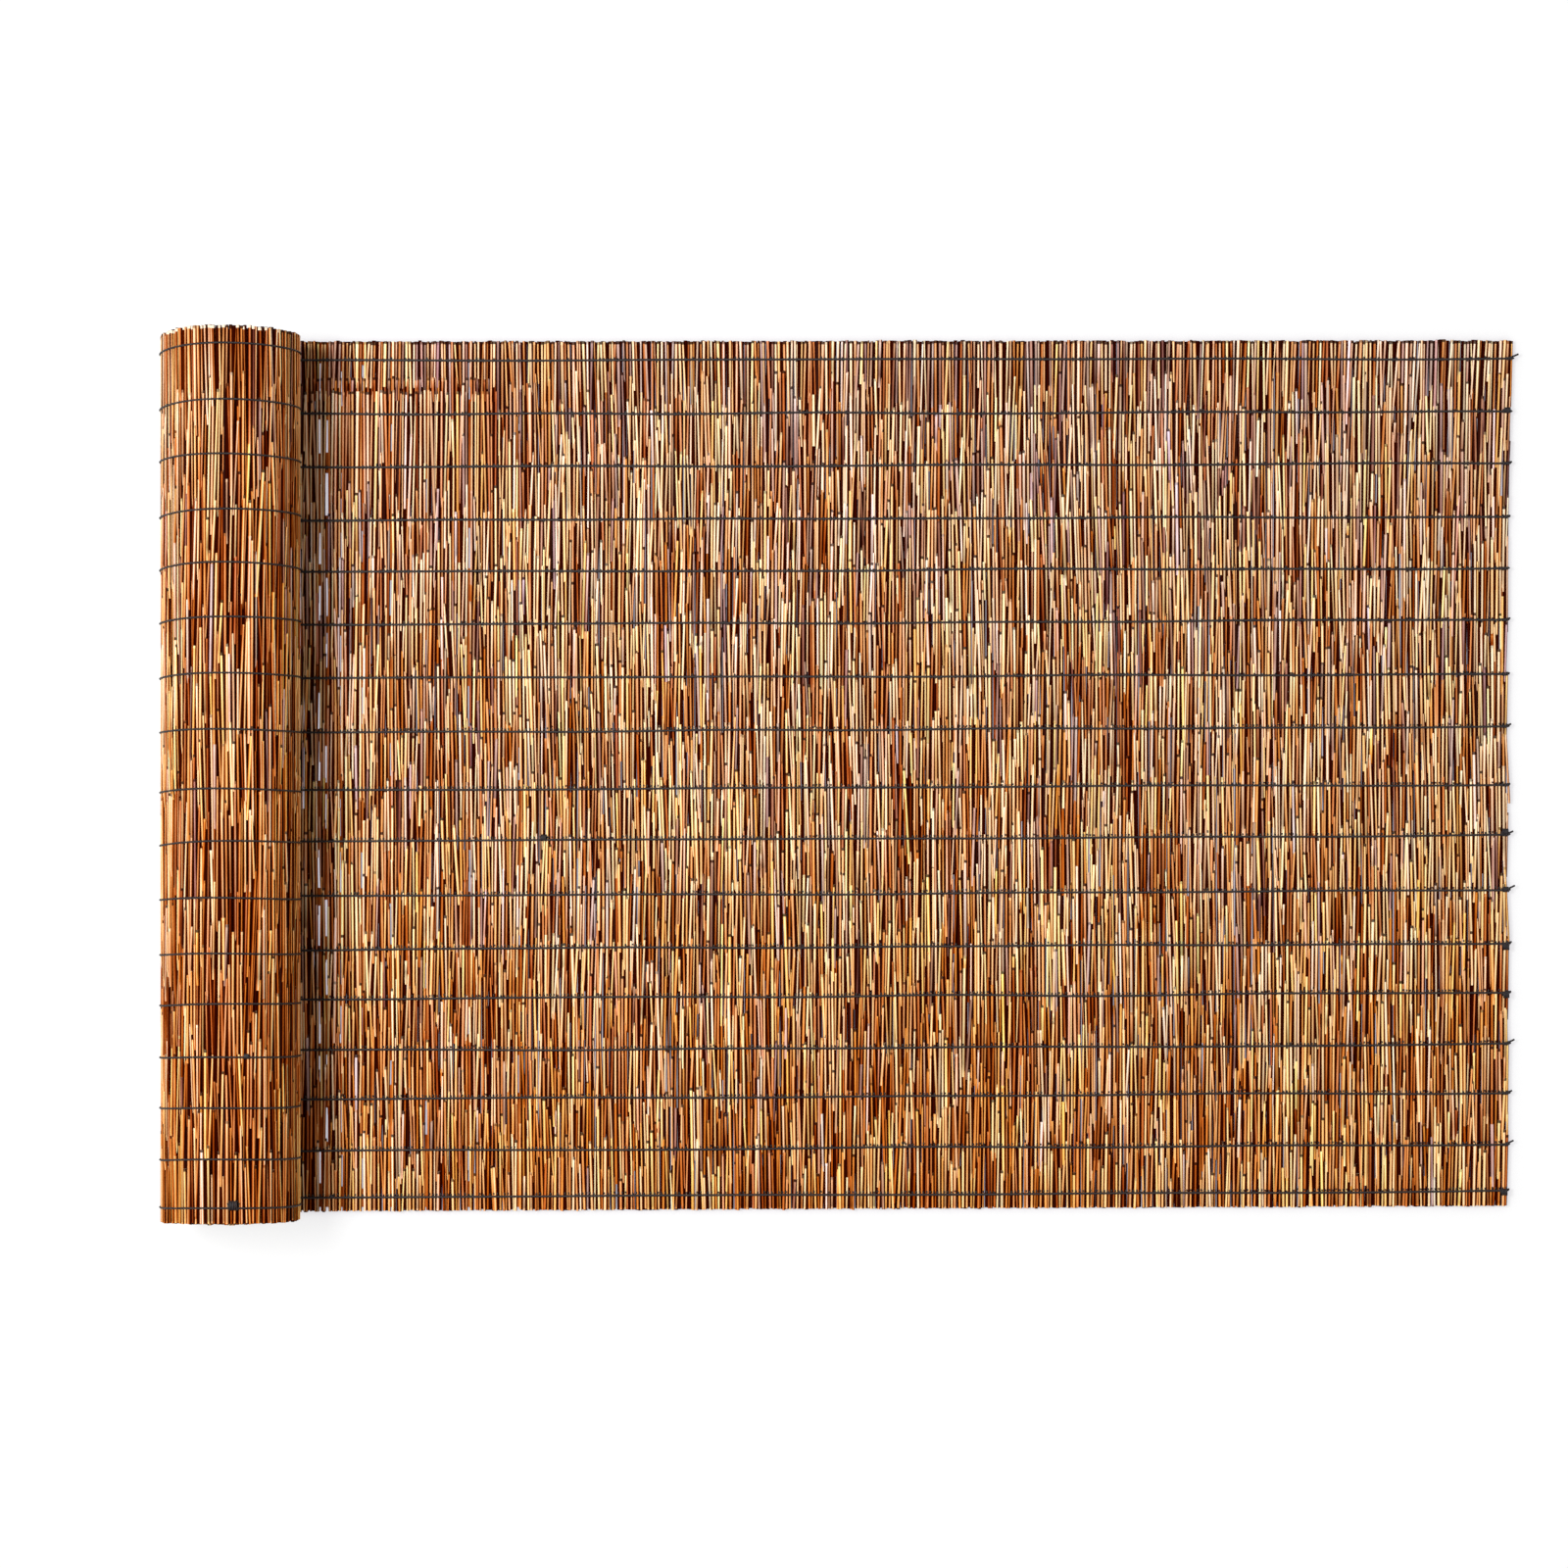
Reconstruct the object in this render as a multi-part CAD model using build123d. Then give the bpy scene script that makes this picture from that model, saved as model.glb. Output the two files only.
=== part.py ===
from build123d import *
import math
import os

# Reed screening mat, partly unrolled: a flat run of reeds that winds into a roll at one end.
# The reeds lie side by side along Y. Binding wires cross them along X, on both faces.
# The mat lies on its back: X runs along the mat, with the roll at -X, and Z is up.

# Driving dimensions, in millimetres.
reed_length = 1220.0  # height of the fence, end to end of the reeds
reed_pitch = 5.0  # spacing of neighbouring reeds
mat_thickness = 7.0  # over the thickest reeds, face to back
groove_depth = 2.2  # from the crest of a thick reed to the groove beside it
reed_variation = 0.9  # how far the crest of a thin reed lies below that of a thick one
flat_run = 1784.0  # from the axis of the roll to the free edge
roll_diameter = 198.0  # over the reeds of the outer turn
core_diameter = 62.0  # hollow that is left where the winding ends
wire_rows = 17  # binding wires across the reeds
wire_size = 2.2  # thickness of a binding wire
wire_margin_top = 23.0  # from the reeds' upper ends to the first wire
wire_margin_bottom = 21.0  # from the reeds' lower ends to the last wire
close_rows = 5  # rows at the lower end that lie closer together
close_row_ratio = 0.91  # their spacing, as a share of the other rows' spacing
wire_tail = 6.0  # twisted end of a wire, past the free edge
turn_clearance = 0.4  # room left between the wires of neighbouring turns
turn_facets = 10  # straight runs in half a turn of the wires and of the inner turns
gap_columns = 8  # grooves that stand open, near the roll
gap_first_reed = 22  # reeds between the axis of the roll and the first open groove
gap_spread = 2  # reeds by which each next open groove is further away
gap_width = 1.5  # width of an opening between two reeds
gap_ledge = 0.2  # width of web left beside an opening
gap_wire_clearance = 9.0  # from an opening's end to the wire
gap_row_step = 3  # an open groove has an opening in every third row

# Levels and radii that follow from them. The back wires lie on the ground.
back_level = wire_size
face_level = back_level + mat_thickness
turn_pitch = mat_thickness + 2 * wire_size + turn_clearance
mean_groove = groove_depth / 2
outer_radius = roll_diameter / 2
left_centre = back_level + outer_radius
right_centre = left_centre + turn_pitch / 2
reed_count = round(flat_run / reed_pitch)
flat_pitch = flat_run / reed_count
half_turns = 2 * (outer_radius - mat_thickness - core_diameter / 2) / turn_pitch
wide_rows = wire_rows - 1 - close_rows
wired_length = reed_length - wire_margin_top - wire_margin_bottom
row_spacing = wired_length / (wide_rows + close_rows * close_row_ratio)
row_steps = [min(row, wide_rows) + max(row - wide_rows, 0) * close_row_ratio for row in range(wire_rows)]
row_y = [reed_length / 2 - wire_margin_top - step * row_spacing for step in row_steps]
gap_reeds = [gap_first_reed + gap_spread * k * (k + 1) // 2 for k in range(gap_columns)]
web_width = gap_width + 2 * gap_ledge

# The origin is under the middle of the whole object, so the roll's axis lies to the left of it.
left_reach = outer_radius + wire_size
right_reach = flat_run + wire_size + wire_tail
axis_x = (left_reach - right_reach) / 2


def crest_dip(reed):
    """How far a reed's crest lies below the thickest one. No pattern shows along the mat."""
    golden_angle = math.pi * (3 - math.sqrt(5))
    return reed_variation * (0.5 + 0.5 * math.sin(golden_angle * reed))


def flat_ridges(level, inward):
    """Crests and grooves of the flat run, from the roll to the free edge. inward is +1 on the back."""
    points = [(0.0, level + inward * groove_depth)]
    for reed in range(reed_count):
        crest_x = (reed + 0.5) * flat_pitch
        groove_x = (reed + 1) * flat_pitch
        points.append((crest_x, level + inward * crest_dip(reed)))
        groove_z = level + inward * groove_depth
        if reed + 1 in gap_reeds:
            points.append((groove_x - web_width / 2, groove_z))
            points.append((groove_x + web_width / 2, groove_z))
        else:
            points.append((groove_x, groove_z))
    return points


def half_turn_place(half):
    """Radius of a half turn over its reeds, the height of its centre, and its side: they rise on the left."""
    radius = outer_radius - half * turn_pitch / 2
    return (radius, left_centre, -1) if half % 2 == 0 else (radius, right_centre, 1)


def half_turn_ridges(half):
    """Crests and grooves outside a half turn, in the direction of winding."""
    radius, centre_z, side = half_turn_place(half)
    reeds = round(math.pi * radius / reed_pitch)
    step = math.pi / reeds
    start = -math.pi / 2 if side < 0 else math.pi / 2
    points = []
    for reed in range(reeds + 1):
        groove = start - reed * step
        points.append((groove, radius - groove_depth))
        if reed < reeds:
            points.append((groove - step / 2, radius - crest_dip(reed)))
    return [(r * math.cos(angle), centre_z + r * math.sin(angle)) for angle, r in points]


def half_turn(half, depth, share=1.0):
    """Share of a half turn, the depth below the reeds' crests, in straight runs that touch its circle."""
    crest_radius, centre_z, side = half_turn_place(half)
    radius = crest_radius - depth
    step = math.pi / turn_facets
    corner = radius / math.cos(step / 2)
    angles = [(facet + 0.5) * step for facet in range(turn_facets)]
    polar = [(0.0, radius)] + [(angle, corner) for angle in angles if angle < share * math.pi]
    last = share * math.pi
    middle = round(last / step) * step
    polar.append((last, radius / math.cos(last - middle)))
    return [(side * r * math.sin(angle), centre_z + side * r * math.cos(angle)) for angle, r in polar]


def winding(first_half, depth):
    """A face of the mat wound from a half turn to the end of the roll, from the outside inwards."""
    whole = int(half_turns)
    points = []
    for half in range(first_half, whole):
        points += half_turn(half, depth)[:-1]
    return points + half_turn(whole, depth, half_turns - whole)


def wall_outline():
    """Section of the mat: flat run, ridged outer turn, plain inner turns, and back along the other face."""
    points = flat_ridges(back_level, 1)[::-1]
    points += half_turn_ridges(0)[1:]
    points += half_turn_ridges(1)[1:]
    points += winding(2, mean_groove)
    points += winding(0, mat_thickness - mean_groove)[::-1]
    points += flat_ridges(face_level, -1)
    return Polyline(*points, close=True).wire()


def make_mat():
    """The reeds as one ridged wall, with openings in the grooves that stand open."""
    section = Face(wall_outline())
    placed = Plane((axis_x, reed_length / 2, 0), x_dir=(1, 0, 0), z_dir=(0, -1, 0)) * section
    wall = extrude(placed, reed_length, dir=(0, -1, 0))
    openings = []
    for column, reed in enumerate(gap_reeds):
        for row in range(column % gap_row_step, wire_rows - 1, gap_row_step):
            middle = (row_y[row] + row_y[row + 1]) / 2
            opening_length = row_y[row] - row_y[row + 1] - 2 * gap_wire_clearance
            place = Pos(axis_x + reed * flat_pitch, middle, back_level + mat_thickness / 2)
            openings.append(place * Box(gap_width, opening_length, mat_thickness))
    return wall.cut(*openings)


def make_binding_wire(y):
    """One row's wire on the flat run: along the face, round the edge reed with a tail, back underneath."""
    end_x = axis_x + flat_run
    low_left = (Align.MIN, Align.CENTER, Align.MIN)
    face_run = Pos(axis_x, y, face_level) * Box(flat_run, wire_size, wire_size, align=low_left)
    back_run = Pos(axis_x, y, 0) * Box(flat_run, wire_size, wire_size, align=low_left)
    bend = Pos(end_x, y, 0) * Box(wire_size, wire_size, face_level + wire_size, align=low_left)
    tail = Pos(end_x + wire_size, y, face_level) * Box(wire_tail, wire_size, wire_size, align=low_left)
    return face_run + bend + back_run + tail


def make_roll_wire(y):
    """The same row's wire round the outer turn, from under the roll to where the turn meets the mat."""
    outside = half_turn(0, -wire_size)[:-1] + half_turn(1, -wire_size)[1:]
    inside = half_turn(0, 0)[:-1] + half_turn(1, 0)[1:]
    section = Face(Polyline(*outside, *inside[::-1], close=True).wire())
    placed = Plane((axis_x, y + wire_size / 2, 0), x_dir=(1, 0, 0), z_dir=(0, -1, 0)) * section
    return extrude(placed, wire_size, dir=(0, -1, 0))


def main():
    os.makedirs("parts", exist_ok=True)
    export_step(make_mat(), "parts/reed_mat.step")
    for row, y in enumerate(row_y, start=1):
        export_step(make_binding_wire(y), f"parts/binding_wire_{row:02d}.step")
        export_step(make_roll_wire(y), f"parts/roll_wire_{row:02d}.step")
    whole = int(half_turns)
    shares = [1.0] * whole + [half_turns - whole]
    roll_length = sum(
        share * math.pi * (half_turn_place(half)[0] - mat_thickness / 2) for half, share in enumerate(shares)
    )
    print(f"mat {flat_run + roll_length:.0f} mm long unrolled, {half_turns / 2:.2f} turns in the roll")


main()
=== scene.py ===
import math

import bpy
import numpy as np
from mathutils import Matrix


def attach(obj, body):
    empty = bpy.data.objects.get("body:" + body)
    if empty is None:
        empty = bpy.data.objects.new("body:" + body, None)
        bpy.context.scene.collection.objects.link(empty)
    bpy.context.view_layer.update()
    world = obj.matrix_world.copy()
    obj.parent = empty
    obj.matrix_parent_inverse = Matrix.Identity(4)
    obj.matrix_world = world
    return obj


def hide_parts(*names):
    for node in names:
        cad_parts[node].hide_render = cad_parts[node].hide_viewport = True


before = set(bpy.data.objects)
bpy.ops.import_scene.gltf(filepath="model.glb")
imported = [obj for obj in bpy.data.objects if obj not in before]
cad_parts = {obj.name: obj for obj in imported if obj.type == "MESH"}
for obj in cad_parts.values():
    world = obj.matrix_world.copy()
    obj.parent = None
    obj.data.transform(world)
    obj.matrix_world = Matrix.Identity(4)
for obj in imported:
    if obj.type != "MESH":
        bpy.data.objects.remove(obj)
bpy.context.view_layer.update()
scene = bpy.context.scene
scene.view_settings.view_transform = "Standard"

# the mat's own sizes, in metres, as the solids have them
mat = {
    "axisX": -0.8455,  # roll axis
    "flatRun": 1.784,  # roll axis to the free edge
    "height": 1.220,  # along the reeds
    "thickness": 0.007,
    "wire": 0.0022,
    "rollRadius": 0.099,
    "turnPitch": 0.0118,  # from one turn of the roll to the next
    "halfTurns": 10.34,
    "topMargin": 0.023,  # reed ends to the first and the last row of wire
    "bottomMargin": 0.021,
    "wideRows": 11,  # steps between the upper rows, then the closer ones below
    "closeRows": 5,
    "closeRatio": 0.91,
    "reeds": 357,  # on the flat run
    "openGrooves": (22, 24, 28, 34, 42, 52, 64, 78),  # counted from the roll's axis
    "mostlyOpen": 3,  # the first of those, open in more rows
}
fullTurn = 2 * math.pi
halfHeight = mat["height"] / 2
halfThick = mat["thickness"] / 2
pitch = mat["flatRun"] / mat["reeds"]

rowIndex = np.arange(mat["wideRows"] + mat["closeRows"] + 1)
stepsDown = np.minimum(rowIndex, mat["wideRows"]) + mat["closeRatio"] * np.maximum(rowIndex - mat["wideRows"], 0)
rowStep = (mat["height"] - mat["topMargin"] - mat["bottomMargin"]) / (
    mat["wideRows"] + mat["closeRows"] * mat["closeRatio"]
)
rowY = halfHeight - mat["topMargin"] - rowStep * stepsDown

halfNumber = np.arange(math.ceil(mat["halfTurns"]))
halfRadius = mat["rollRadius"] - halfThick - halfNumber * mat["turnPitch"] / 2
halfStart = np.concatenate([[0.0], np.cumsum(math.pi * halfRadius)])
overRoll, outerTurn = halfStart[1], halfStart[2]  # length wound up to the roll's crest, and once round it
rollLength = np.interp(mat["halfTurns"], np.arange(len(halfStart)), halfStart)
leftZ = mat["wire"] + mat["rollRadius"]
rightZ = leftZ + mat["turnPitch"] / 2
midZ = mat["wire"] + halfThick


# Where a point of the mat lies. u runs along the mat from the roll's axis, y along the reeds, h off the middle
# of the mat towards its face. The flat run is straight. Past u = 0 the mat winds up in half turns, whose centres
# take turns between two points, so each half turn is a little tighter than the last.
def matPoint(u, y, h):
    s = np.maximum(-u, 0.0)
    half = np.clip(np.searchsorted(halfStart, s, side="right") - 1, 0, len(halfRadius) - 1)
    r = halfRadius[half] - h
    turn = (s - halfStart[half]) / halfRadius[half]
    rising = half % 2 == 0
    rollX = mat["axisX"] + np.where(rising, -1.0, 1.0) * r * np.sin(turn)
    rollZ = np.where(rising, leftZ - r * np.cos(turn), rightZ + r * np.cos(turn))
    flat = u >= 0
    x = np.where(flat, mat["axisX"] + u, rollX)
    z = np.where(flat, midZ + h, rollZ)
    return np.stack(np.broadcast_arrays(x, y, z), axis=-1)


# how far round the outer turn a place is: nought where the roll leaves the ground, half a turn at its crest
def lapAngle(u):
    return np.clip(-fullTurn * u / outerTurn, 0, fullTurn)


waves = {"count": 6, "stretch": (0.6, 1.8), "divide": 3.2}


# slow drifts over the mat, about -1 to 1: a sum of waves, each with its own heading, stretch and phase
def drift(u, y, seed, lengthU, lengthY):
    rng = np.random.default_rng(seed)
    total = 0.0
    for wave in range(waves["count"]):
        heading = rng.uniform(0, fullTurn)
        stretch = rng.uniform(*waves["stretch"])
        phase = rng.uniform(0, fullTurn)
        total = total + np.sin(stretch * (u / lengthU * math.cos(heading) + y / lengthY * math.sin(heading)) + phase)
    return total / waves["divide"]


# what the numbers painted on each point of a reed stand for
paintAt = {"tone": 0, "warmth": 1, "dark": 2, "cut": 3, "green": 4, "blue": 5}
cutLevel = {"rim": 0.5, "hollow": 1.0}  # nought on the skin
tiny = 1e-12  # keeps a direction without length from dividing by nought


# Round tubes carried along paths, all at once. path is (tubes, rings, 3) in u, y, h and radius is (tubes, rings).
# Each ring is a circle square to the path. The ends are fans with a middle point of their own.
# The shade function, where given, takes tone off each side of the ring as painted shade, so that reeds darken into the
# grooves.
def tubes(path, radius, sides, paint=None, paintedShade=None):
    count, rings = radius.shape
    along = np.gradient(path, axis=1)
    along /= np.linalg.norm(along, axis=2, keepdims=True) + tiny
    side = np.cross(along, np.array([0.0, 0.0, 1.0]))
    side /= np.linalg.norm(side, axis=2, keepdims=True) + tiny
    up = np.cross(side, along)
    theta = math.pi / 2 + fullTurn * np.arange(sides) / sides  # a corner on the crest
    spoke = np.cos(theta)[:, None] * side[:, :, None, :] + np.sin(theta)[:, None] * up[:, :, None, :]
    body = path[:, :, None, :] + radius[:, :, None, None] * spoke
    number = np.arange(count * rings * sides).reshape(count, rings, sides)
    nextSide = np.roll(number, -1, axis=2)
    quads = np.stack([number[:, :-1], number[:, 1:], nextSide[:, 1:], nextSide[:, :-1]], axis=-1)
    caps = np.concatenate([body[:, [0, -1]], path[:, [0, -1]][:, :, None, :]], axis=2)
    first = number.size + np.arange(count * 2 * (sides + 1)).reshape(count, 2, sides + 1)
    a, b = first[:, :, :sides], np.roll(first[:, :, :sides], -1, axis=2)
    c = np.repeat(first[:, :, sides:], sides, axis=2)
    nearFans = np.stack([a[:, 0], b[:, 0], c[:, 0]], axis=-1)
    farFans = np.stack([b[:, 1], a[:, 1], c[:, 1]], axis=-1)
    colours = None
    if paint is not None:
        skin = np.repeat(paint[:, :, None, :], sides, axis=2)
        if paintedShade is not None:
            # painted shade: tone taken off round each ring
            skin[..., paintAt["tone"]] -= paintedShade(theta)
        cut = np.repeat(paint[:, [0, -1]][:, :, None, :], sides + 1, axis=2)
        cut[..., paintAt["cut"]] = cutLevel["rim"]
        # the middle of each end is the hollow, painted dark as shade in the open end
        cut[:, :, sides, paintAt["cut"]] = cutLevel["hollow"]
        colours = np.concatenate([skin.reshape(-1, len(paintAt)), cut.reshape(-1, len(paintAt))])
    local = np.concatenate([body.reshape(-1, 3), caps.reshape(-1, 3)])
    return {
        "points": matPoint(local[:, 0], local[:, 1], local[:, 2]),
        "quads": quads.reshape(-1, 4),
        "fans": np.concatenate([nearFans.reshape(-1, 3), farFans.reshape(-1, 3)]),
        "paint": colours,
    }


# tubes of one radius all along
def evenTubes(path, radius, sides):
    return tubes(path, np.full(path.shape[:2], radius), sides)


# several sets of tubes as one
def joined(parts):
    shift = np.cumsum([0] + [len(part["points"]) for part in parts])[:-1]
    paints = [part["paint"] for part in parts]
    return {
        "points": np.concatenate([part["points"] for part in parts]),
        "quads": np.concatenate([part["quads"] + s for part, s in zip(parts, shift)]),
        "fans": np.concatenate([part["fans"] + s for part, s in zip(parts, shift)]),
        "paint": np.concatenate(paints) if paints[0] is not None else None,
    }


def addColours(mesh, name, colours):
    layer = mesh.attributes.new(name, "FLOAT_COLOR", "POINT")
    layer.data.foreach_set("color", colours.ravel())


def putPiece(name, shape, material, nodes=()):
    mesh = bpy.data.meshes.new(name)
    points, quads, fans = shape["points"], shape["quads"], shape["fans"]
    mesh.vertices.add(len(points))
    mesh.vertices.foreach_set("co", points.astype(np.float32).ravel())
    corners = np.concatenate([quads.ravel(), fans.ravel()]).astype(np.int32)
    starts = np.concatenate([np.arange(len(quads)) * 4, len(quads) * 4 + np.arange(len(fans)) * 3])
    mesh.loops.add(len(corners))
    mesh.loops.foreach_set("vertex_index", corners)
    mesh.polygons.add(len(starts))
    mesh.polygons.foreach_set("loop_start", starts.astype(np.int32))
    smooth = np.concatenate([np.ones(len(quads), dtype=bool), np.zeros(len(fans), dtype=bool)])
    mesh.polygons.foreach_set("use_smooth", smooth)
    if shape["paint"] is not None:
        paint = shape["paint"].astype(np.float32)
        addColours(mesh, "reedPaint", paint[:, : paintAt["green"]])
        tint = np.ones((len(paint), 4), dtype=np.float32)
        tint[:, 1:3] = paint[:, paintAt["green"] :]
        addColours(mesh, "reedTint", tint)
    mesh.update(calc_edges=True)
    mesh.materials.append(material)
    piece = bpy.data.objects.new(name, mesh)
    scene.collection.objects.link(piece)
    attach(piece, "root")
    if nodes:
        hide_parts(*nodes)
    print(name, "triangles", len(quads) * 2 + len(fans))


# a colour of 0 to 255, as Blender's sockets take it
def linear(red, green, blue):
    srgb = np.array([red, green, blue]) / 255.0
    value = np.where(srgb <= 0.04045, srgb / 12.92, ((srgb + 0.055) / 1.055) ** 2.4)
    return (*[float(v) for v in value], 1.0)


# a socket takes another node's output or a fixed value
def feed(tree, socket, value):
    if isinstance(value, bpy.types.NodeSocket):
        tree.links.new(value, socket)
    else:
        socket.default_value = value


def mathNode(tree, operation, a, b):
    node = tree.nodes.new("ShaderNodeMath")
    node.operation = operation
    feed(tree, node.inputs[0], a)
    feed(tree, node.inputs[1], b)
    return node.outputs[0]


mixSockets = {"a": 6, "b": 7, "result": 2}  # where a Mix node keeps its colours


def mixNode(tree, factor, a, b, blend="MIX"):
    node = tree.nodes.new("ShaderNodeMix")
    node.data_type = "RGBA"
    node.blend_type = blend
    feed(tree, node.inputs["Factor"], factor)
    feed(tree, node.inputs[mixSockets["a"]], a)
    feed(tree, node.inputs[mixSockets["b"]], b)
    return node.outputs[mixSockets["result"]]


def rampNode(tree, stops, value):
    node = tree.nodes.new("ShaderNodeValToRGB")
    elements = node.color_ramp.elements
    while len(elements) < len(stops):
        elements.new(0.5)
    for element, (place, colour) in zip(elements, stops):
        element.position = place
        element.color = linear(*colour)
    tree.links.new(value, node.inputs["Fac"])
    return node.outputs["Color"]


def noiseNode(tree, place, look):
    mapping = tree.nodes.new("ShaderNodeMapping")
    mapping.inputs["Scale"].default_value = look["scale"]
    texture = tree.nodes.new("ShaderNodeTexNoise")
    texture.inputs["Scale"].default_value = 1.0
    texture.inputs["Detail"].default_value = look["detail"]
    tree.links.new(place, mapping.inputs["Vector"])
    tree.links.new(mapping.outputs["Vector"], texture.inputs["Vector"])
    return texture.outputs["Fac"]


def attributeNode(tree, name):
    node = tree.nodes.new("ShaderNodeAttribute")
    node.attribute_name = name
    return node


# dried reed: tone runs from dark to pale, warmth from straw to golden, and below nought to the mauve of a leaf
# sheath, with streaks, mottling and dark joints; the painted tone carries painted shade, and the joints' dark paints
# shadow at feet and heads
reedLook = {
    "straw": [
        (0.0, (50, 6, 0)),
        (0.2, (130, 46, 5)),
        (0.42, (186, 110, 57)),
        (0.62, (219, 169, 121)),
        (0.82, (240, 213, 175)),
        (1.0, (250, 238, 214)),
    ],
    "golden": [
        (0.0, (48, 6, 0)),
        (0.2, (134, 44, 0)),
        (0.42, (194, 100, 27)),
        (0.62, (227, 149, 70)),
        (0.82, (246, 205, 130)),
        (1.0, (253, 237, 184)),
    ],
    "sheath": [
        (0.0, (50, 20, 14)),
        (0.2, (112, 74, 66)),
        (0.42, (162, 128, 116)),
        (0.62, (204, 178, 164)),
        (0.82, (236, 220, 208)),
        (1.0, (250, 242, 236)),
    ],
    # an end's dark hollow is painted shade in the open tube
    "cut": [  # an end, from its pale rim to its hollow
        (0.0, (242, 217, 190)),
        (0.74, (242, 217, 190)),
        (0.82, (56, 30, 16)),
        (1.0, (56, 30, 16)),
    ],
    "cutFrom": 0.25,
    # the dark of the joints, also used for the painted shadow at the feet and heads
    "joint": (44, 16, 8),
    "jointLift": 0.35,  # added to the mottling that breaks the joints up
    "jointMost": 0.92,
    "streak": {"scale": (260.0, 7.0, 260.0), "detail": 2.0, "part": 0.36},
    "mottle": {"scale": (55.0, 16.0, 55.0), "detail": 3.0, "part": 0.45},
    "roughness": 0.5,
    "specular": 0.0,  # dry reed is matt
}


def makeReedMaterial(name, look):
    material = bpy.data.materials.new(name)
    material.use_nodes = True
    tree = material.node_tree
    shader = tree.nodes["Principled BSDF"]
    shader.inputs["Roughness"].default_value = look["roughness"]
    shader.inputs["Specular IOR Level"].default_value = look["specular"]
    paint = attributeNode(tree, "reedPaint")
    split = tree.nodes.new("ShaderNodeSeparateColor")
    tree.links.new(paint.outputs["Color"], split.inputs["Color"])
    paintTone, warmth, dark = (split.outputs[part] for part in ("Red", "Green", "Blue"))
    place = tree.nodes.new("ShaderNodeTexCoord").outputs["Object"]
    streak = noiseNode(tree, place, look["streak"])
    mottle = noiseNode(tree, place, look["mottle"])
    streaks = mathNode(tree, "MULTIPLY", mathNode(tree, "SUBTRACT", streak, 0.5), look["streak"]["part"])
    mottling = mathNode(tree, "MULTIPLY", mathNode(tree, "SUBTRACT", mottle, 0.5), look["mottle"]["part"])
    tone = mathNode(tree, "ADD", paintTone, mathNode(tree, "ADD", streaks, mottling))
    straw, golden, sheath = (rampNode(tree, look[kind], tone) for kind in ("straw", "golden", "sheath"))
    reed = mixNode(tree, warmth, straw, golden)
    stalk = mixNode(tree, mathNode(tree, "MULTIPLY", warmth, -1.0), reed, sheath)
    tint = attributeNode(tree, "reedTint").outputs["Color"]
    tinted = mixNode(tree, 1.0, stalk, tint, "MULTIPLY")
    # dark joints, and painted shadow at the feet and heads of the lengths
    joint = mathNode(tree, "MULTIPLY", dark, mathNode(tree, "ADD", mottle, look["jointLift"]))
    joint = mathNode(tree, "MINIMUM", joint, look["jointMost"])
    jointedAndShaded = mixNode(tree, joint, tinted, linear(*look["joint"]))
    cut = rampNode(tree, look["cut"], paint.outputs["Alpha"])
    isCut = mathNode(tree, "GREATER_THAN", paint.outputs["Alpha"], look["cutFrom"])
    tree.links.new(mixNode(tree, isCut, jointedAndShaded, cut), shader.inputs["Base Color"])
    return material


wireLook = {"colour": (31, 24, 26), "roughness": 0.6}
threadLook = {"colour": (24, 19, 20), "roughness": 0.6}


def makeWireMaterial(name, look):
    material = bpy.data.materials.new(name)
    material.use_nodes = True
    shader = material.node_tree.nodes["Principled BSDF"]
    shader.inputs["Base Color"].default_value = linear(*look["colour"])
    shader.inputs["Roughness"].default_value = look["roughness"]
    return material


reedMaterial = makeReedMaterial("driedReed", reedLook)
wireMaterial = makeWireMaterial("coatedWire", wireLook)
threadMaterial = makeWireMaterial("stitchThread", threadLook)
print("materials done")

# how the free edge wanders from a place on the flat run outwards, and how the reed ends rise towards it
edgeLook = {"wander": 0.0048, "from": 1.15, "lowerRise": 0.008, "upperRise": 0.0015,
            "cubic": 0.9, "square": 0.55, "drawn": 0.75, "shift": 0.45}


# The free edge is pulled out at the top, drawn in a third of the way down and straight again at the bottom.
# The reach grows with the square of the way to the edge, and its size is a cubic of the place along the edge.
def edgeShift(u, y):
    reach = np.clip((u - edgeLook["from"]) / (mat["flatRun"] - edgeLook["from"]), 0, 1) ** 2
    place = y / halfHeight
    bend = edgeLook["cubic"] * place**3 + edgeLook["square"] * place**2
    bend = bend - edgeLook["drawn"] * place * (1 - place**2) - edgeLook["shift"]
    return reach * edgeLook["wander"] * bend


swayLook = {"reach": 0.0016, "lengthU": 0.09, "lengthY": 0.14, "fade": 0.08}


# neighbouring reeds sway together by a millimetre or two, less towards the free edge
def sway(u, y):
    fade = np.clip((mat["flatRun"] - u) / swayLook["fade"], 0, 1)
    return swayLook["reach"] * drift(u, y, 91, swayLook["lengthU"], swayLook["lengthY"]) * fade


skewLook = {"crest": 0.003, "left": 0.0054, "right": 0.0027}


# The outer turn sits a little skewed: furthest up over the crest, lower at both sides, most at the left.
def skew(u):
    lap = lapAngle(u)
    left, right = np.maximum(np.sin(lap), 0) ** 2, np.maximum(-np.sin(lap), 0) ** 2
    return skewLook["crest"] * (0.5 - 0.5 * np.cos(lap)) - skewLook["left"] * left - skewLook["right"] * right


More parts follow.
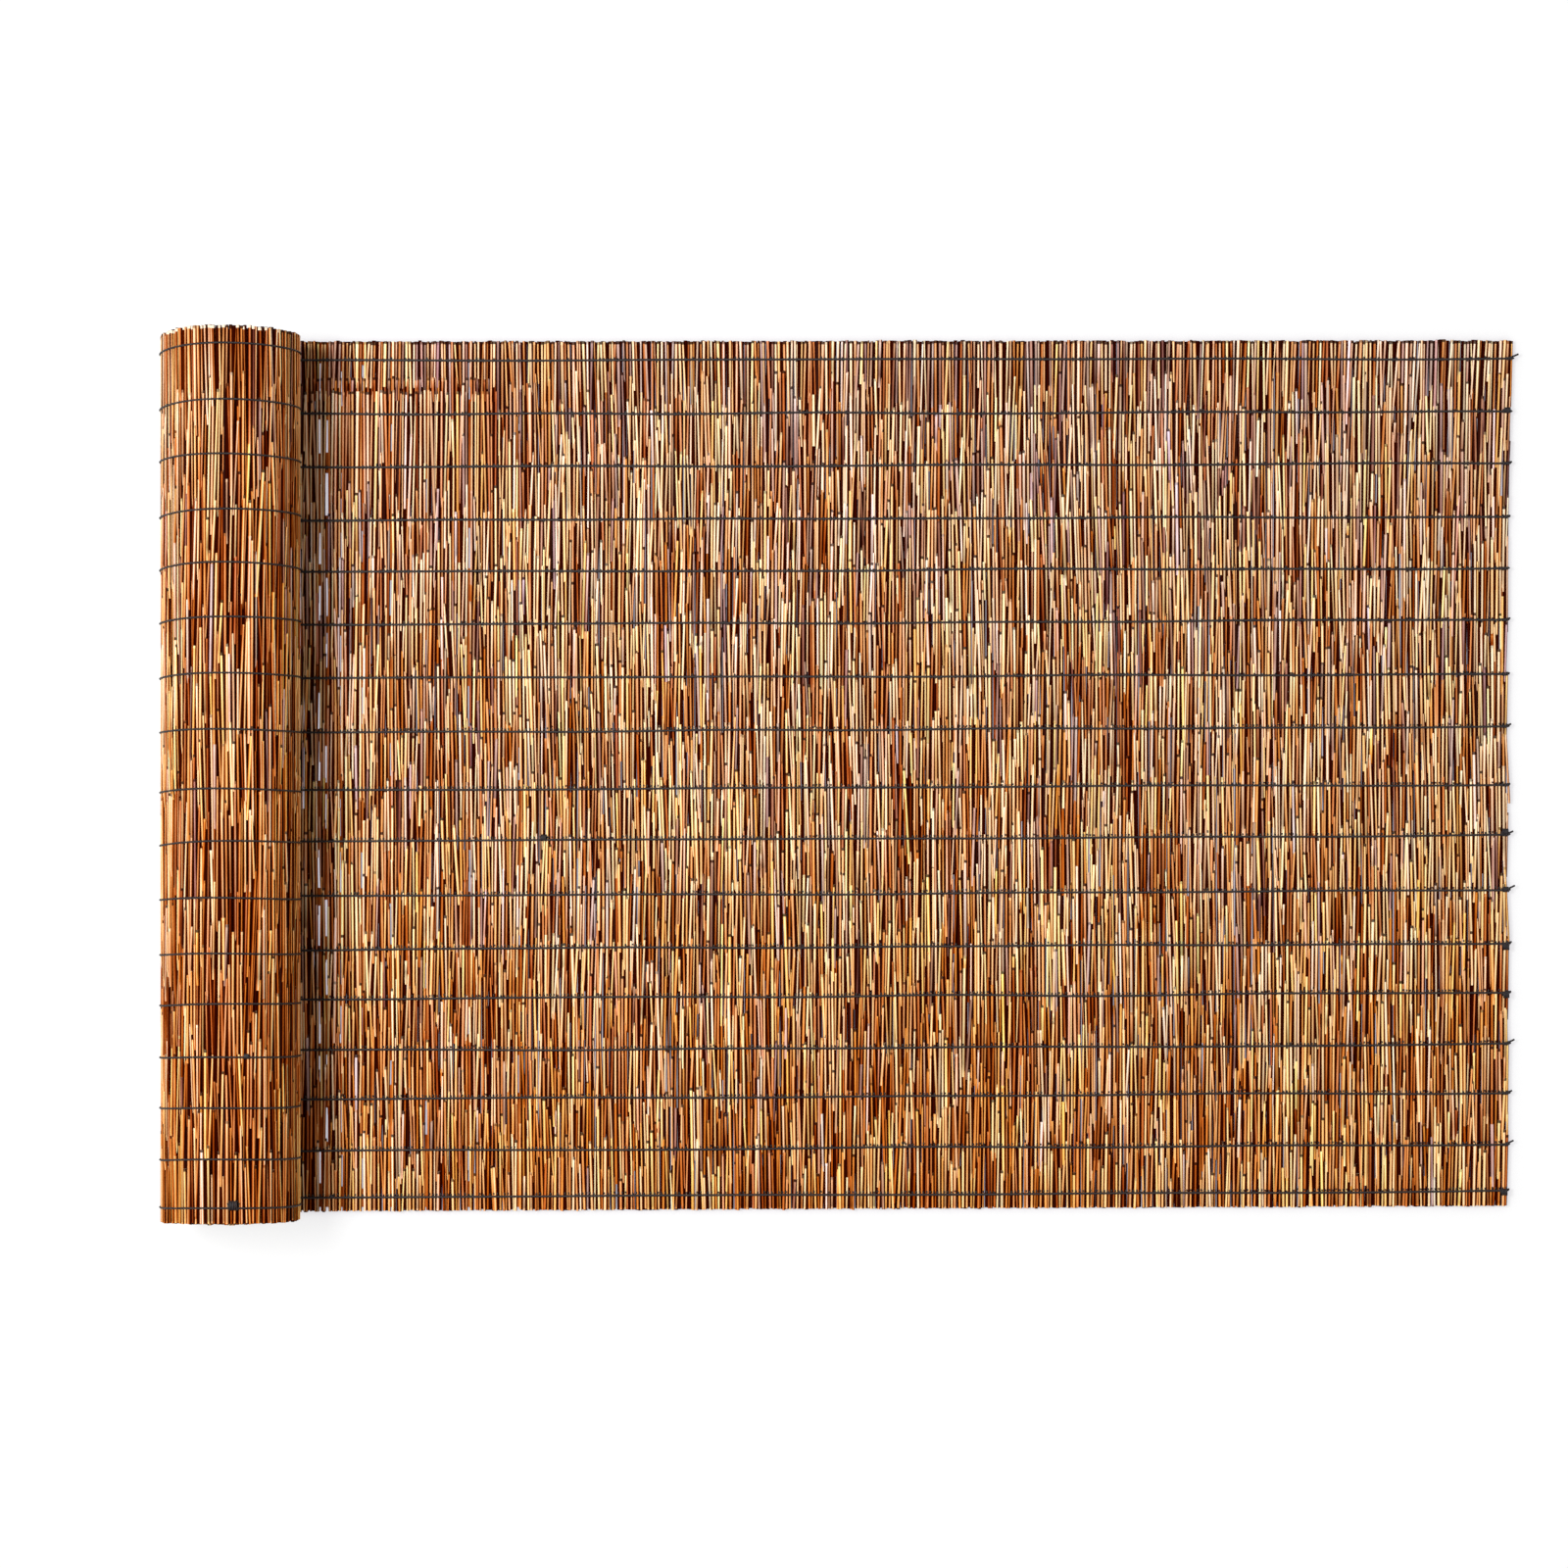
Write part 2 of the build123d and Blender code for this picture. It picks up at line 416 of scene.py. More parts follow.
# a layer of reeds: sizes in metres, tones from nought (dark) to one (pale), and shares of all lengths
flatFace = {
    "lengths": 16,  # in a column, end to end
    "joints": 0,  # on each length
    "sides": 6,
    "breakSpread": 0.46,  # of the even spacing
    "band": {"from": 0.09, "to": 0.36, "levels": (0.5588, 0.5395), "share": 0.8, "scatter": 0.0008, "darker": 0.1},
    "lowerPast": 0.004, "lowerScatter": 0.0006,  # how far the ends go past the mat's height
    "upperPast": -0.0005, "upperScatter": 0.0007,
    "tuck": 0.014, "tuckDrop": 0.0016,  # a foot goes this far under the head below it, and this deep
    "footRing": 0.004, "jointRings": (-0.004, 0.0, 0.003), "headRings": (-0.0044, -0.0034, 0.0),
    "jointPlace": (0.25, 0.75),
    "radius": (0.0015, 0.0025), "taper": 0.12, "jointSwell": 0.10, "headSwell": 1.08, "sheathSwell": 0.0002,
    "steadyRadius": (0.0019, 0.0023), "steadyStray": 0.5,  # beside an open groove
    "scatter": 0.0009, "lean": 0.012, "bow": 0.0, "bowMiddle": 0.3,
    "level": 0.0016, "lift": 0.0005, "sink": 0.0008, "proud": 0.0003,  # dark lengths sink
    "paleShare": 0.62, "paleTone": 0.97, "darkTone": 0.68, "toneSpread": 0.12,
    "patch": 0.24, "patchU": 0.016, "patchY": 0.02,
    "upperShade": -0.15, "upperFrom": 0.5, "lowerShade": -0.2, "lowerFrom": -0.15, "lowerFade": 0.2,
    "warmth": 0.42, "warmthFall": 0.38, "paintedShadeWarmth": 0.0, "warmthSpread": 0.28,
    "sheath": 0.13, "sheathFrom": -0.35, "sheathFade": 0.45, "sheathLeast": 0.25, "sheathMore": 0.52,
    "sheathWarmth": (-1.0, -0.4), "sheathTone": 0.62, "sheathSpread": 0.12,
    # dark of the joints, painted shadow at the feet, and dark heads that are partly painted shadow
    "jointDark": (-1.0, 1.2), "paintedFootShadow": (-1.0, 0.7), "headDarkAndShadow": (-0.6, 2.0), "darkest": 1.8,
    "toneLimits": (0.02, 1.0), "ringSpread": 0.05, "paintedFootShade": 0.08,
    "paleHeads": 0.0, "paleHeadReach": 1.0, "paleHeadShade": 0.25,  # pale heads lie near the roll's crest
    "tint": (0.055, 0.12),  # spread of green and blue
    # painted shade into the grooves and on the side away from the lamp at the left: how deep, which side, and its
    # limits
    "groove": 1.4, "paintedShadeSide": 0.3, "paintedShadeFrom": 0.9, "paintedShadeCrest": 0.93, "paintedShadeMost": 1.3,
}
flatBack = dict(flatFace, lengths=2, joints=1, sides=5, band=None, warmth=0.6, radius=(0.0025, 0.0027),
                scatter=0.0001, lean=0.0008, bow=0.0004, tuck=0.004, sink=0.0)
rollOut = dict(flatFace, lengths=11, band=None, warmth=0.44, warmthFall=0.25, paintedShadeWarmth=0.5, upperShade=0.0,
               lowerShade=0.0, sheath=0.05, paleShare=0.5, paintedShadeSide=-0.1, darkTone=0.62, paleHeads=0.7)
rollIn = dict(flatBack, lengths=1)


# Where the lengths of each column start and end. Breaks are off an even spacing by chance. In the band most columns
# have their upper two breaks on two lines. The outer ends are cut nearly straight.
def reedSpans(columns, look, rng):
    count, lengths = len(columns), look["lengths"]
    spread = look["breakSpread"]
    chance = rng.uniform(-spread, spread, (count, lengths - 1))
    breaks = mat["height"] / lengths * (np.arange(1, lengths) + chance) - halfHeight
    lined = np.zeros(count, dtype=bool)
    if look["band"]:
        band = look["band"]
        lined = (columns > band["from"]) & (columns < band["to"]) & (rng.random(count) < band["share"])
        for place, level in zip((-1, -2), band["levels"]):
            breaks[:, place] = np.where(lined, level + rng.normal(0, band["scatter"], count), breaks[:, place])
    onFlat = np.clip(columns / mat["flatRun"], 0, 1)
    low = -halfHeight - look["lowerPast"] + edgeLook["lowerRise"] * onFlat
    low = low + rng.normal(0, look["lowerScatter"], count)
    high = halfHeight + look["upperPast"] + edgeLook["upperRise"] * onFlat
    high = high + rng.normal(0, look["upperScatter"], count)
    starts = np.concatenate([low[:, None], breaks], axis=1).ravel()
    ends = np.concatenate([breaks, high[:, None]], axis=1).ravel()
    return starts, ends, lined


# The rings of each length: the foot and just above it, three at each joint, two just below the head and the head.
def reedRings(starts, ends, isFoot, look, rng):
    joints = look["joints"]
    jointAt = (np.arange(joints) + rng.uniform(*look["jointPlace"], (len(starts), joints))) / max(joints, 1)
    starts, ends = starts[:, None], ends[:, None]
    foot = np.where(isFoot, 0.0, -look["tuck"])[:, None]
    rings = [starts + np.concatenate([foot, 0 * foot + look["footRing"]], axis=1)]
    for joint in range(joints):
        middle = starts + (ends - starts) * jointAt[:, joint : joint + 1]
        rings.append(middle + np.array([look["jointRings"]]))
    rings.append(ends + np.array([look["headRings"]]))
    y = np.sort(np.concatenate(rings, axis=1), axis=1)
    isJoint = np.zeros(y.shape[1])
    isJoint[3 : 3 + 3 * joints : 3] = 1.0  # the middle one of each three
    return y, isJoint


# Tone: pale and dark lengths in patches, duller at the upper and lower ends. Warmth: more golden towards the lower
# ends, and on the roll's shaded right side as painted shade. Some lengths are leaf sheaths, more of them towards the
# upper ends.
def reedTones(reeds, look, seed, rng):
    column, middle = reeds["column"], reeds["middle"]
    total = len(column)
    patch = drift(column, middle, seed + 7, look["patchU"], look["patchY"])
    paleShare = look["paleShare"] + look["patch"] * patch + look["upperShade"] * (middle > look["upperFrom"])
    lowered = np.clip(look["lowerFrom"] - middle, 0, look["lowerFade"])
    paleShare = paleShare + look["lowerShade"] * lowered / look["lowerFade"]
    pale = rng.random(total) < paleShare
    tone = np.where(pale, look["paleTone"], look["darkTone"]) + look["toneSpread"] * rng.normal(0, 1, total)
    golden = look["warmth"] - look["warmthFall"] * np.clip(middle / halfHeight, -1, 1)
    # painted shade: more golden on the roll's shaded right side
    golden = golden + look["paintedShadeWarmth"] * np.maximum(-np.sin(lapAngle(column)), 0)
    warmth = np.clip(golden + look["warmthSpread"] * rng.normal(0, 1, total), 0, 1)
    sheathShare = np.clip((middle - look["sheathFrom"]) / look["sheathFade"], look["sheathLeast"], 1)
    sheathShare = sheathShare + (middle > look["sheathMore"])
    isSheath = rng.random(total) < look["sheath"] * sheathShare
    warmth = np.where(isSheath, rng.uniform(*look["sheathWarmth"], total), warmth)
    tone = np.where(isSheath, look["sheathTone"] + look["sheathSpread"] * rng.normal(0, 1, total), tone)
    if look["band"]:
        darker = look["band"]["darker"]
        tone = np.where(reeds["lined"], look["darkTone"] - darker + darker * rng.normal(0, 1, total), tone)
    return dict(reeds, tone=tone, warmth=warmth, isSheath=isSheath, pale=pale | isSheath)


# The path and radius of each length: its own width, taper, lean, bow, place and depth. Dark lengths lie deeper.
def reedPaths(reeds, crest, look, rng):
    column, y, isJoint = reeds["column"][:, None], reeds["y"], reeds["isJoint"]
    total, ringCount = y.shape
    width = rng.uniform(*look["radius"], total) * reeds["share"] + look["sheathSwell"] * reeds["isSheath"]
    width = np.where(reeds["steady"], np.clip(width, *look["steadyRadius"]), width)
    taper = 1 + rng.uniform(-look["taper"], look["taper"], total)[:, None] * np.linspace(-1, 1, ringCount)
    radius = width[:, None] * taper * (1 + look["jointSwell"] * isJoint)
    radius[:, -2:] *= look["headSwell"]
    run = 2 * (y - reeds["middle"][:, None]) / mat["height"]
    lean = rng.normal(0, look["lean"], total)[:, None] * run
    bow = rng.normal(0, look["bow"], total)[:, None] * (run**2 - look["bowMiddle"])
    stray = np.where(reeds["steady"], look["steadyStray"], 1.0)[:, None]
    u = column + stray * (rng.normal(0, look["scatter"], total)[:, None] + lean + bow)
    u = u + edgeShift(u, y) + sway(column + 0 * y, y)
    sunk = np.where(reeds["pale"], 0.0, look["sink"])
    tuckDrop = look["tuckDrop"] * np.where(reeds["isFoot"], 0.0, 1.0)[:, None] * (np.arange(ringCount) == 0)
    h = crest * ((look["level"] - sunk + rng.normal(0, look["lift"], total))[:, None] - tuckDrop)
    limit = halfThick + look["proud"] - radius
    return np.stack([u, y + skew(u), np.clip(h, -limit, limit)], axis=-1), radius


# What is painted on the rings: tone, warmth, dark joints, painted shadow and shade at the feet, dark heads that are
# partly painted shadow, the pale cut heads and a tint of its own.
def reedPaint(reeds, look, rng):
    total, ringCount = reeds["y"].shape

    def darkness(kind, shape):
        return rng.uniform(*look[kind], shape).clip(0, look["darkest"])

    dark = np.where(reeds["isJoint"] > 0, darkness("jointDark", (total, 1)), 0.0)
    # painted shadow just above each foot, where it comes out from under the head below
    dark[:, 1] = darkness("paintedFootShadow", total)
    # dark heads: partly the reed's own dark tip and partly painted shadow at the end
    dark[:, -2:] = darkness("headDarkAndShadow", (total, 1))
    paint = np.zeros((total, ringCount, len(paintAt)))
    tone = np.clip(reeds["tone"], *look["toneLimits"])[:, None] + rng.normal(0, look["ringSpread"], (total, ringCount))
    # painted shade on the foot, where it lies under the head below
    tone[:, :2] -= look["paintedFootShade"]
    nearCrest = np.abs(lapAngle(reeds["column"]) - math.pi) < look["paleHeadReach"]
    paleHead = reeds["isHead"] & (rng.random(total) < look["paleHeads"]) & nearCrest
    tone[:, -3] -= look["paleHeadShade"] * paleHead
    paint[..., paintAt["tone"]] = tone
    paint[..., paintAt["warmth"]] = reeds["warmth"][:, None]
    paint[..., paintAt["dark"]] = np.where(paleHead[:, None], 0.0, dark)
    paint[:, -2:, paintAt["cut"]] = np.where(paleHead, cutLevel["rim"], 0.0)[:, None]
    for part, spread in zip(("green", "blue"), look["tint"]):
        paint[..., paintAt[part]] = np.exp(spread * rng.normal(0, 1, total))[:, None]
    return paint


# Reeds of one layer. columns is the u of each column of reeds. A column is several lengths end to end, and the foot
# of each is tucked under the head of the length below it. crest is 1 on the mat's face and -1 on its back. Columns
# that are steady keep close to their place and width.
def reedLayer(columns, crest, look, seed, widthShare=1.0, steady=False):
    rng = np.random.default_rng(seed)
    count, lengths = len(columns), look["lengths"]
    number = np.tile(np.arange(lengths), count)  # of a length in its column, from the lowest
    starts, ends, lined = reedSpans(columns, look, rng)
    y, isJoint = reedRings(starts, ends, number == 0, look, rng)
    reeds = {
        "column": np.repeat(columns, lengths),
        "share": np.repeat(np.broadcast_to(widthShare, count), lengths),
        "steady": np.repeat(np.broadcast_to(steady, count), lengths),
        "lined": np.repeat(lined, lengths) & (number == lengths - 2),
        "isFoot": number == 0,
        "isHead": number == lengths - 1,
        "middle": (starts + ends) / 2,
        "y": y,
        "isJoint": isJoint,
    }
    reeds = reedTones(reeds, look, seed, rng)
    path, radius = reedPaths(reeds, crest, look, rng)
    paint = reedPaint(reeds, look, rng)

    # painted shade: tone lost round the reed, least on the crest and most into the grooves and on the side away from
    # the lamp at the left
    def paintedGrooveShade(theta):
        facing = crest * (look["paintedShadeCrest"] * np.sin(theta) - look["paintedShadeSide"] * np.cos(theta))
        return look["groove"] * np.clip(look["paintedShadeFrom"] - facing, 0, look["paintedShadeMost"])

    return tubes(path, radius, look["sides"], paint, paintedGrooveShade)


columnLook = {"scatter": 0.0006, "most": 0.0012, "shares": (0.55, 1.45)}


# Columns of uneven width: every border between two reeds is off its even place by chance, apart from those kept.
def unevenColumns(first, count, kept, seed):
    borders = first + np.arange(count + 1) * pitch
    off = np.random.default_rng(seed).normal(0, columnLook["scatter"], count + 1)
    off = off.clip(-columnLook["most"], columnLook["most"])
    off[[0, -1]] = 0.0
    off[np.array(kept, dtype=int)] = 0.0
    borders = borders + off
    return (borders[1:] + borders[:-1]) / 2, ((borders[1:] - borders[:-1]) / pitch).clip(*columnLook["shares"])


# Reeds beside an open groove stand a little apart. Under it the lower reed is left out between two wires in every
# third row, and in two of three rows for the first grooves. What is left of that reed reaches past the wires.
grooveLook = {"apart": 0.0002, "every": 3, "pastWire": (0.004, 0.02), "upperShort": 0.001, "lowerShort": 0.002,
              "radius": 0.0026, "level": -0.0009, "rings": 4, "sides": 5, "tone": 0.3, "warmth": 0.5}
flatColumns, flatShare = unevenColumns(0.0, mat["reeds"], mat["openGrooves"], seed=21)
besideOpen = np.zeros(mat["reeds"], dtype=bool)
underColumns = np.delete(np.arange(1, mat["reeds"]), np.array(mat["openGrooves"]) - 1) * pitch
rng = np.random.default_rng(5)
pieces = []
for number, groove in enumerate(mat["openGrooves"]):
    flatColumns[groove - 1] -= grooveLook["apart"]
    flatColumns[groove] += grooveLook["apart"]
    besideOpen[[groove - 1, groove]] = True
    rows = np.arange(len(rowY) - 1)
    openRows = 2 if number < mat["mostlyOpen"] else 1
    rows = rows[(rows - number) % grooveLook["every"] < openRows]
    tops = rowY[rows + 1] + rng.uniform(*grooveLook["pastWire"], len(rows))
    feet = rowY[rows] - rng.uniform(*grooveLook["pastWire"], len(rows))
    tops = np.append(halfHeight - grooveLook["upperShort"], tops)
    feet = np.append(feet, -halfHeight + grooveLook["lowerShort"])
    pieces.append(np.stack([np.full(len(tops), groove * pitch), tops, feet], axis=-1))
underU, tops, feet = np.split(np.concatenate(pieces), 3, axis=1)
underY = tops + (feet - tops) * np.linspace(0, 1, grooveLook["rings"])
underU = underU + sway(underU + 0 * underY, underY)
underPath = np.stack([underU, underY, 0 * underY + grooveLook["level"]], axis=-1)
underPaint = np.zeros((*underY.shape, len(paintAt)))
for part, value in (("tone", grooveLook["tone"]), ("warmth", grooveLook["warmth"]), ("green", 1.0), ("blue", 1.0)):
    underPaint[..., paintAt[part]] = value
underOpen = tubes(underPath, np.full(underY.shape, grooveLook["radius"]), grooveLook["sides"], underPaint)

rollLook = {"overlap": 0.06, "innerSpacing": 1.05}  # how far the outer reeds go on into the second turn
outerLength = outerTurn + rollLook["overlap"]
rollColumns, rollShare = unevenColumns(-outerTurn - rollLook["overlap"], int(outerLength / pitch), [], seed=22)
liningColumns = -np.arange(pitch, outerLength, pitch)
innerColumns = -np.arange(outerLength, rollLength, pitch * rollLook["innerSpacing"])

near = np.arange(mat["reeds"]) < mat["reeds"] // 2  # the half beside the roll
nearReeds = reedLayer(flatColumns[near], 1, flatFace, 11, flatShare[near], besideOpen[near])
farReeds = reedLayer(flatColumns[~near], 1, flatFace, 17, flatShare[~near], besideOpen[~near])
backReeds = joined([reedLayer(underColumns, -1, flatBack, 12), underOpen])
outerReeds = reedLayer(rollColumns, -1, rollOut, 13, rollShare)
liningReeds = reedLayer(liningColumns, 1, rollIn, 14)
innerReeds = joined([reedLayer(innerColumns, -1, rollIn, 15), reedLayer(innerColumns - pitch / 2, 1, rollIn, 16)])
putPiece("flatFaceReedsNear", nearReeds, reedMaterial, ["reed_mat"])
putPiece("flatFaceReedsFar", farReeds, reedMaterial)
putPiece("flatBackReeds", backReeds, reedMaterial)
putPiece("rollOuterReeds", outerReeds, reedMaterial)
putPiece("rollLiningReeds", liningReeds, reedMaterial)
putPiece("rollInnerReeds", innerReeds, reedMaterial)
print("reeds done")

wireShape = {
    "radius": 0.0015, "back": 0.0011, "strand": 0.00088,  # on the face, on the back, and a strand of those on the roll
    "sides": 5, "strandSides": 4,
    "dip": 0.001, "rollDip": 0.0004, "swell": 0.12,  # lower and thinner at each gap between reeds
    "wander": 0.0012, "wanderLength": 0.09,
    "rise": 0.0030, "lowerRise": 0.0066, "riseRows": 9,  # towards the free edge, and what is added on lower rows
    "twist": 0.0006, "rollUp": 0.0008, "pressed": 0.0004,
    "coilRings": 8, "coilFlat": 0.5,
}
faceLevel = halfThick + wireShape["radius"]
backLevel = -halfThick - wireShape["back"]

# how far each row sits off its even place, in millimetres
rowOff = (-4.0, -4.4, -2.0, -2.0, 0.5, 2.4, 2.2, 2.4, -4.2, -0.6, -2.0, -1.5, -2.0, -5.8, -5.3, -8.8, -6.2)


# Where a row runs: off its even place, rising towards the free edge, most on the lower rows, and wandering slowly.
def rowLine(row, u):
    rise = wireShape["rise"] + wireShape["lowerRise"] * min(row / wireShape["riseRows"], 1)
    wander = wireShape["wander"] * drift(u, 0 * u + row, 40 + row, wireShape["wanderLength"], 1.0)
    return rowY[row] + rowOff[row] / 1000 + rise * np.clip(u / mat["flatRun"], 0, 1) + wander


# A row's wire as a line over the reeds. u has a few steps to a reed, and h drops at each gap.
def wireLine(row, uFrom, uTo, level, dip, stepsPerReed):
    u = np.linspace(uFrom, uTo, int(abs(uTo - uFrom) / pitch * stepsPerReed) + 1)
    h = level - np.sign(level) * dip * (0.5 + 0.5 * np.cos(fullTurn * u / pitch))
    return np.stack([u, rowLine(row, u), h], axis=-1)[None]


# Two strands twisted round a line, half a turn apart, one turn for every two reeds.
def twisted(line, reach):
    turn = math.pi * line[0, :, 0] / pitch
    strands = []
    for start in (0.0, math.pi):
        strand = line[0].copy()
        strand[:, 1] += reach * np.cos(turn + start)
        strand[:, 2] += reach * np.sin(turn + start)
        strands.append(strand)
    return np.stack(strands)


# A short length of wire wound round the row: a flattened helix of a few turns.
def coil(row, u, level, turns, length, reach, rise=0.0):
    t = np.linspace(0, 1, int(turns * wireShape["coilRings"]))
    middleY = float(rowLine(row, np.array(u)))
    angle = fullTurn * turns * t
    path = np.stack([u + (t - 0.5) * length, middleY + rise + reach * np.cos(angle),
                     level + wireShape["coilFlat"] * reach * np.sin(angle)], axis=-1)[None]
    return evenTubes(path, wireShape["strand"], wireShape["sides"])


stitchLook = {
    "radius": 0.0011, "sides": 5, "scatter": 0.0006, "upperRows": 7,
    "upper": {"share": 0.4, "rise": 0.0006, "reach": 0.0026, "level": 0.0004},
    "lower": {"share": 0.7, "rise": 0.0034, "reach": 0.0013, "level": 0.0003},
}


# Stitches: where the thread goes down between two reeds, across the wire on the upper rows and above it on the lower.
def stitchRow(row, line):
    rng = np.random.default_rng(100 + int(row))
    look = stitchLook["upper" if row < stitchLook["upperRows"] else "lower"]
    gaps = np.arange(1, mat["reeds"]) * pitch
    gaps = gaps[rng.random(len(gaps)) < look["share"]]
    gaps = gaps + sway(gaps, 0 * gaps + rowY[row])
    rise = look["rise"] + rng.normal(0, stitchLook["scatter"], len(gaps))
    lineY = np.interp(gaps, line[0, :, 0], line[0, :, 1])
    ends = [np.stack([gaps, lineY + rise + reach, 0 * gaps + halfThick + look["level"]], axis=-1)
            for reach in (-look["reach"], look["reach"])]
    return evenTubes(np.stack(ends, axis=1), stitchLook["radius"], stitchLook["sides"])


endShape = {
    "hookPast": 0.002, "hookSlope": 0.0005, "hookDepth": 0.0046, "hookRings": 7,
    "tailFrom": 0.004, "tailOver": 0.005, "tailUp": 0.0010, "tailSlope": 0.75, "tailLift": 0.0004, "tailDrop": 0.003,
    "tailRadius": 0.0014, "tailRings": 4,
    "wrapFrom": 0.006, "wrap": {"turns": 2.5, "length": 0.006, "reach": 0.0018},
    # the two coils of a knot: how far in, and its shares of the knot's reach and rise
    "knotCoils": (
        {"from": 0.005, "turns": 4.5, "length": 0.008, "reach": 1.0, "rise": 1.0},
        {"from": 0.006, "turns": 3.5, "length": 0.010, "reach": 0.6, "rise": 0.5},
    ),
}
tails = (7, 0, 2, 1, 0, 2, 1, 3, 1, 5, 7, 2, 1, 6, 3, 6, 1)  # past the edge, one for each row, in millimetres
edgeKnots = {1: (3.4, 2), 9: (4.2, 4), 10: (3.4, 1), 11: (4.4, -4), 12: (4.0, -3), 16: (4.4, -2)}  # reach, rise, mm


# The end of a row goes round the last reed and leaves a tail, wrapped and on some rows knotted.
def rowEnd(row, edge, endY):
    bend = np.linspace(0, math.pi, endShape["hookRings"])
    hook = np.stack([edge + endShape["hookPast"] * np.sin(bend), endY + endShape["hookSlope"] * bend,
                     endShape["hookDepth"] * np.cos(bend)], axis=-1)[None]
    run = np.linspace(0, 1, endShape["tailRings"])
    past = tails[row] / 1000
    tail = np.stack([edge - endShape["tailFrom"] + (endShape["tailOver"] + past) * run,
                     endY + endShape["tailUp"] + endShape["tailSlope"] * past * run,
                     faceLevel + endShape["tailLift"] - endShape["tailDrop"] * run**2], axis=-1)[None]
    parts = [
        evenTubes(hook, wireShape["back"], wireShape["sides"]),
        evenTubes(tail, endShape["tailRadius"], wireShape["sides"]),
        coil(row, edge - endShape["wrapFrom"], faceLevel, **endShape["wrap"]),
    ]
    if int(row) in edgeKnots:
        reach, rise = edgeKnots[int(row)]
        for part in endShape["knotCoils"]:
            parts.append(coil(row, edge - part["from"], faceLevel, part["turns"], part["length"],
                              part["reach"] * reach / 1000, part["rise"] * rise / 1000))
    return parts


# Round the roll the wire follows the reeds, and is pressed in where the roll rests on the ground.
def rollRope(row):
    line = wireLine(row, 0.0, -outerTurn, backLevel, wireShape["rollDip"], 4)
    lap = lapAngle(line[0, :, 0])
    line[0, :, 1] += skew(line[0, :, 0]) + wireShape["rollUp"]
    line[0, :, 2] += wireShape["pressed"] * (0.5 + 0.5 * np.cos(lap))
    return evenTubes(twisted(line, wireShape["twist"]), wireShape["strand"], wireShape["strandSides"])


# where two lengths of wire are spliced: for each row, the places and their size, and the two coils at size one
splices = {9: [(0.425, 1.0)], 13: [(-overRoll - 0.030, 0.7)], 16: [(-overRoll - 0.013, 1.5), (0.127, 0.5)]}
spliceCoils = (
    {"turns": 3, "length": 0.010, "reach": 0.0030, "rise": 0.002},
    {"turns": 5, "length": 0.007, "reach": 0.0042, "rise": 0.003},
)

stitches = []
for row in rowIndex:
    edge = mat["flatRun"] + float(edgeShift(np.array(mat["flatRun"]), np.array(rowY[row])))
    faceLine = wireLine(row, 0.0, edge, faceLevel, wireShape["dip"], 2)
    backLine = wireLine(row, 0.0, edge, backLevel, 0.0, 0.5)
    faceRadius = wireShape["radius"] * (1 - wireShape["swell"] * np.cos(fullTurn * faceLine[..., 0] / pitch))
    stitches.append(stitchRow(row, faceLine))
    flatParts = [tubes(faceLine, faceRadius, wireShape["sides"]),
                 evenTubes(backLine, wireShape["back"], wireShape["sides"])]
    flatParts += rowEnd(row, edge, faceLine[0, -1, 1])
    rollParts = [rollRope(row)]
    for u, size in splices.get(int(row), []):
        onFlat = u > 0
        rise = float(skew(np.array(u)))
        for part in spliceCoils:
            knot = coil(row, u, faceLevel if onFlat else -faceLevel, part["turns"], part["length"] * size,
                        part["reach"] * size, rise + part["rise"] * size)
            (flatParts if onFlat else rollParts).append(knot)
    name = f"{row + 1:02d}"
    putPiece("bindingWire" + name, joined(flatParts), wireMaterial, ["binding_wire_" + name])
    putPiece("rollWire" + name, joined(rollParts), wireMaterial, ["roll_wire_" + name])
putPiece("stitchThreads", joined(stitches), threadMaterial)
print("wires done")

# studio: white floor, a large soft lamp from the upper left and a weaker one from the right
studio = {
    "keyLamp": {"place": (-2.5, 0.7, 4.6), "target": (0.1, 0, 0), "size": 1.8, "power": 318.0},
    "fillLamp": {"place": (3.2, -1.2, 4.5), "target": (0, 0, 0), "size": 3.0, "power": 56.0},
    "world": 0.28,
    "floorReach": 40,
    "floorColour": (0.93, 0.93, 0.93, 1),
    "floorRoughness": 0.9,
    "floorGlow": 0.84,
    # painted contact shadow: the colour the floor's glow takes close to the mat
    "paintedContactShade": (196, 188, 200),  # soft shade close to the mat
    "contactReach": 0.03,
    "contactSamples": 2,
}
white = (1, 1, 1, 1)


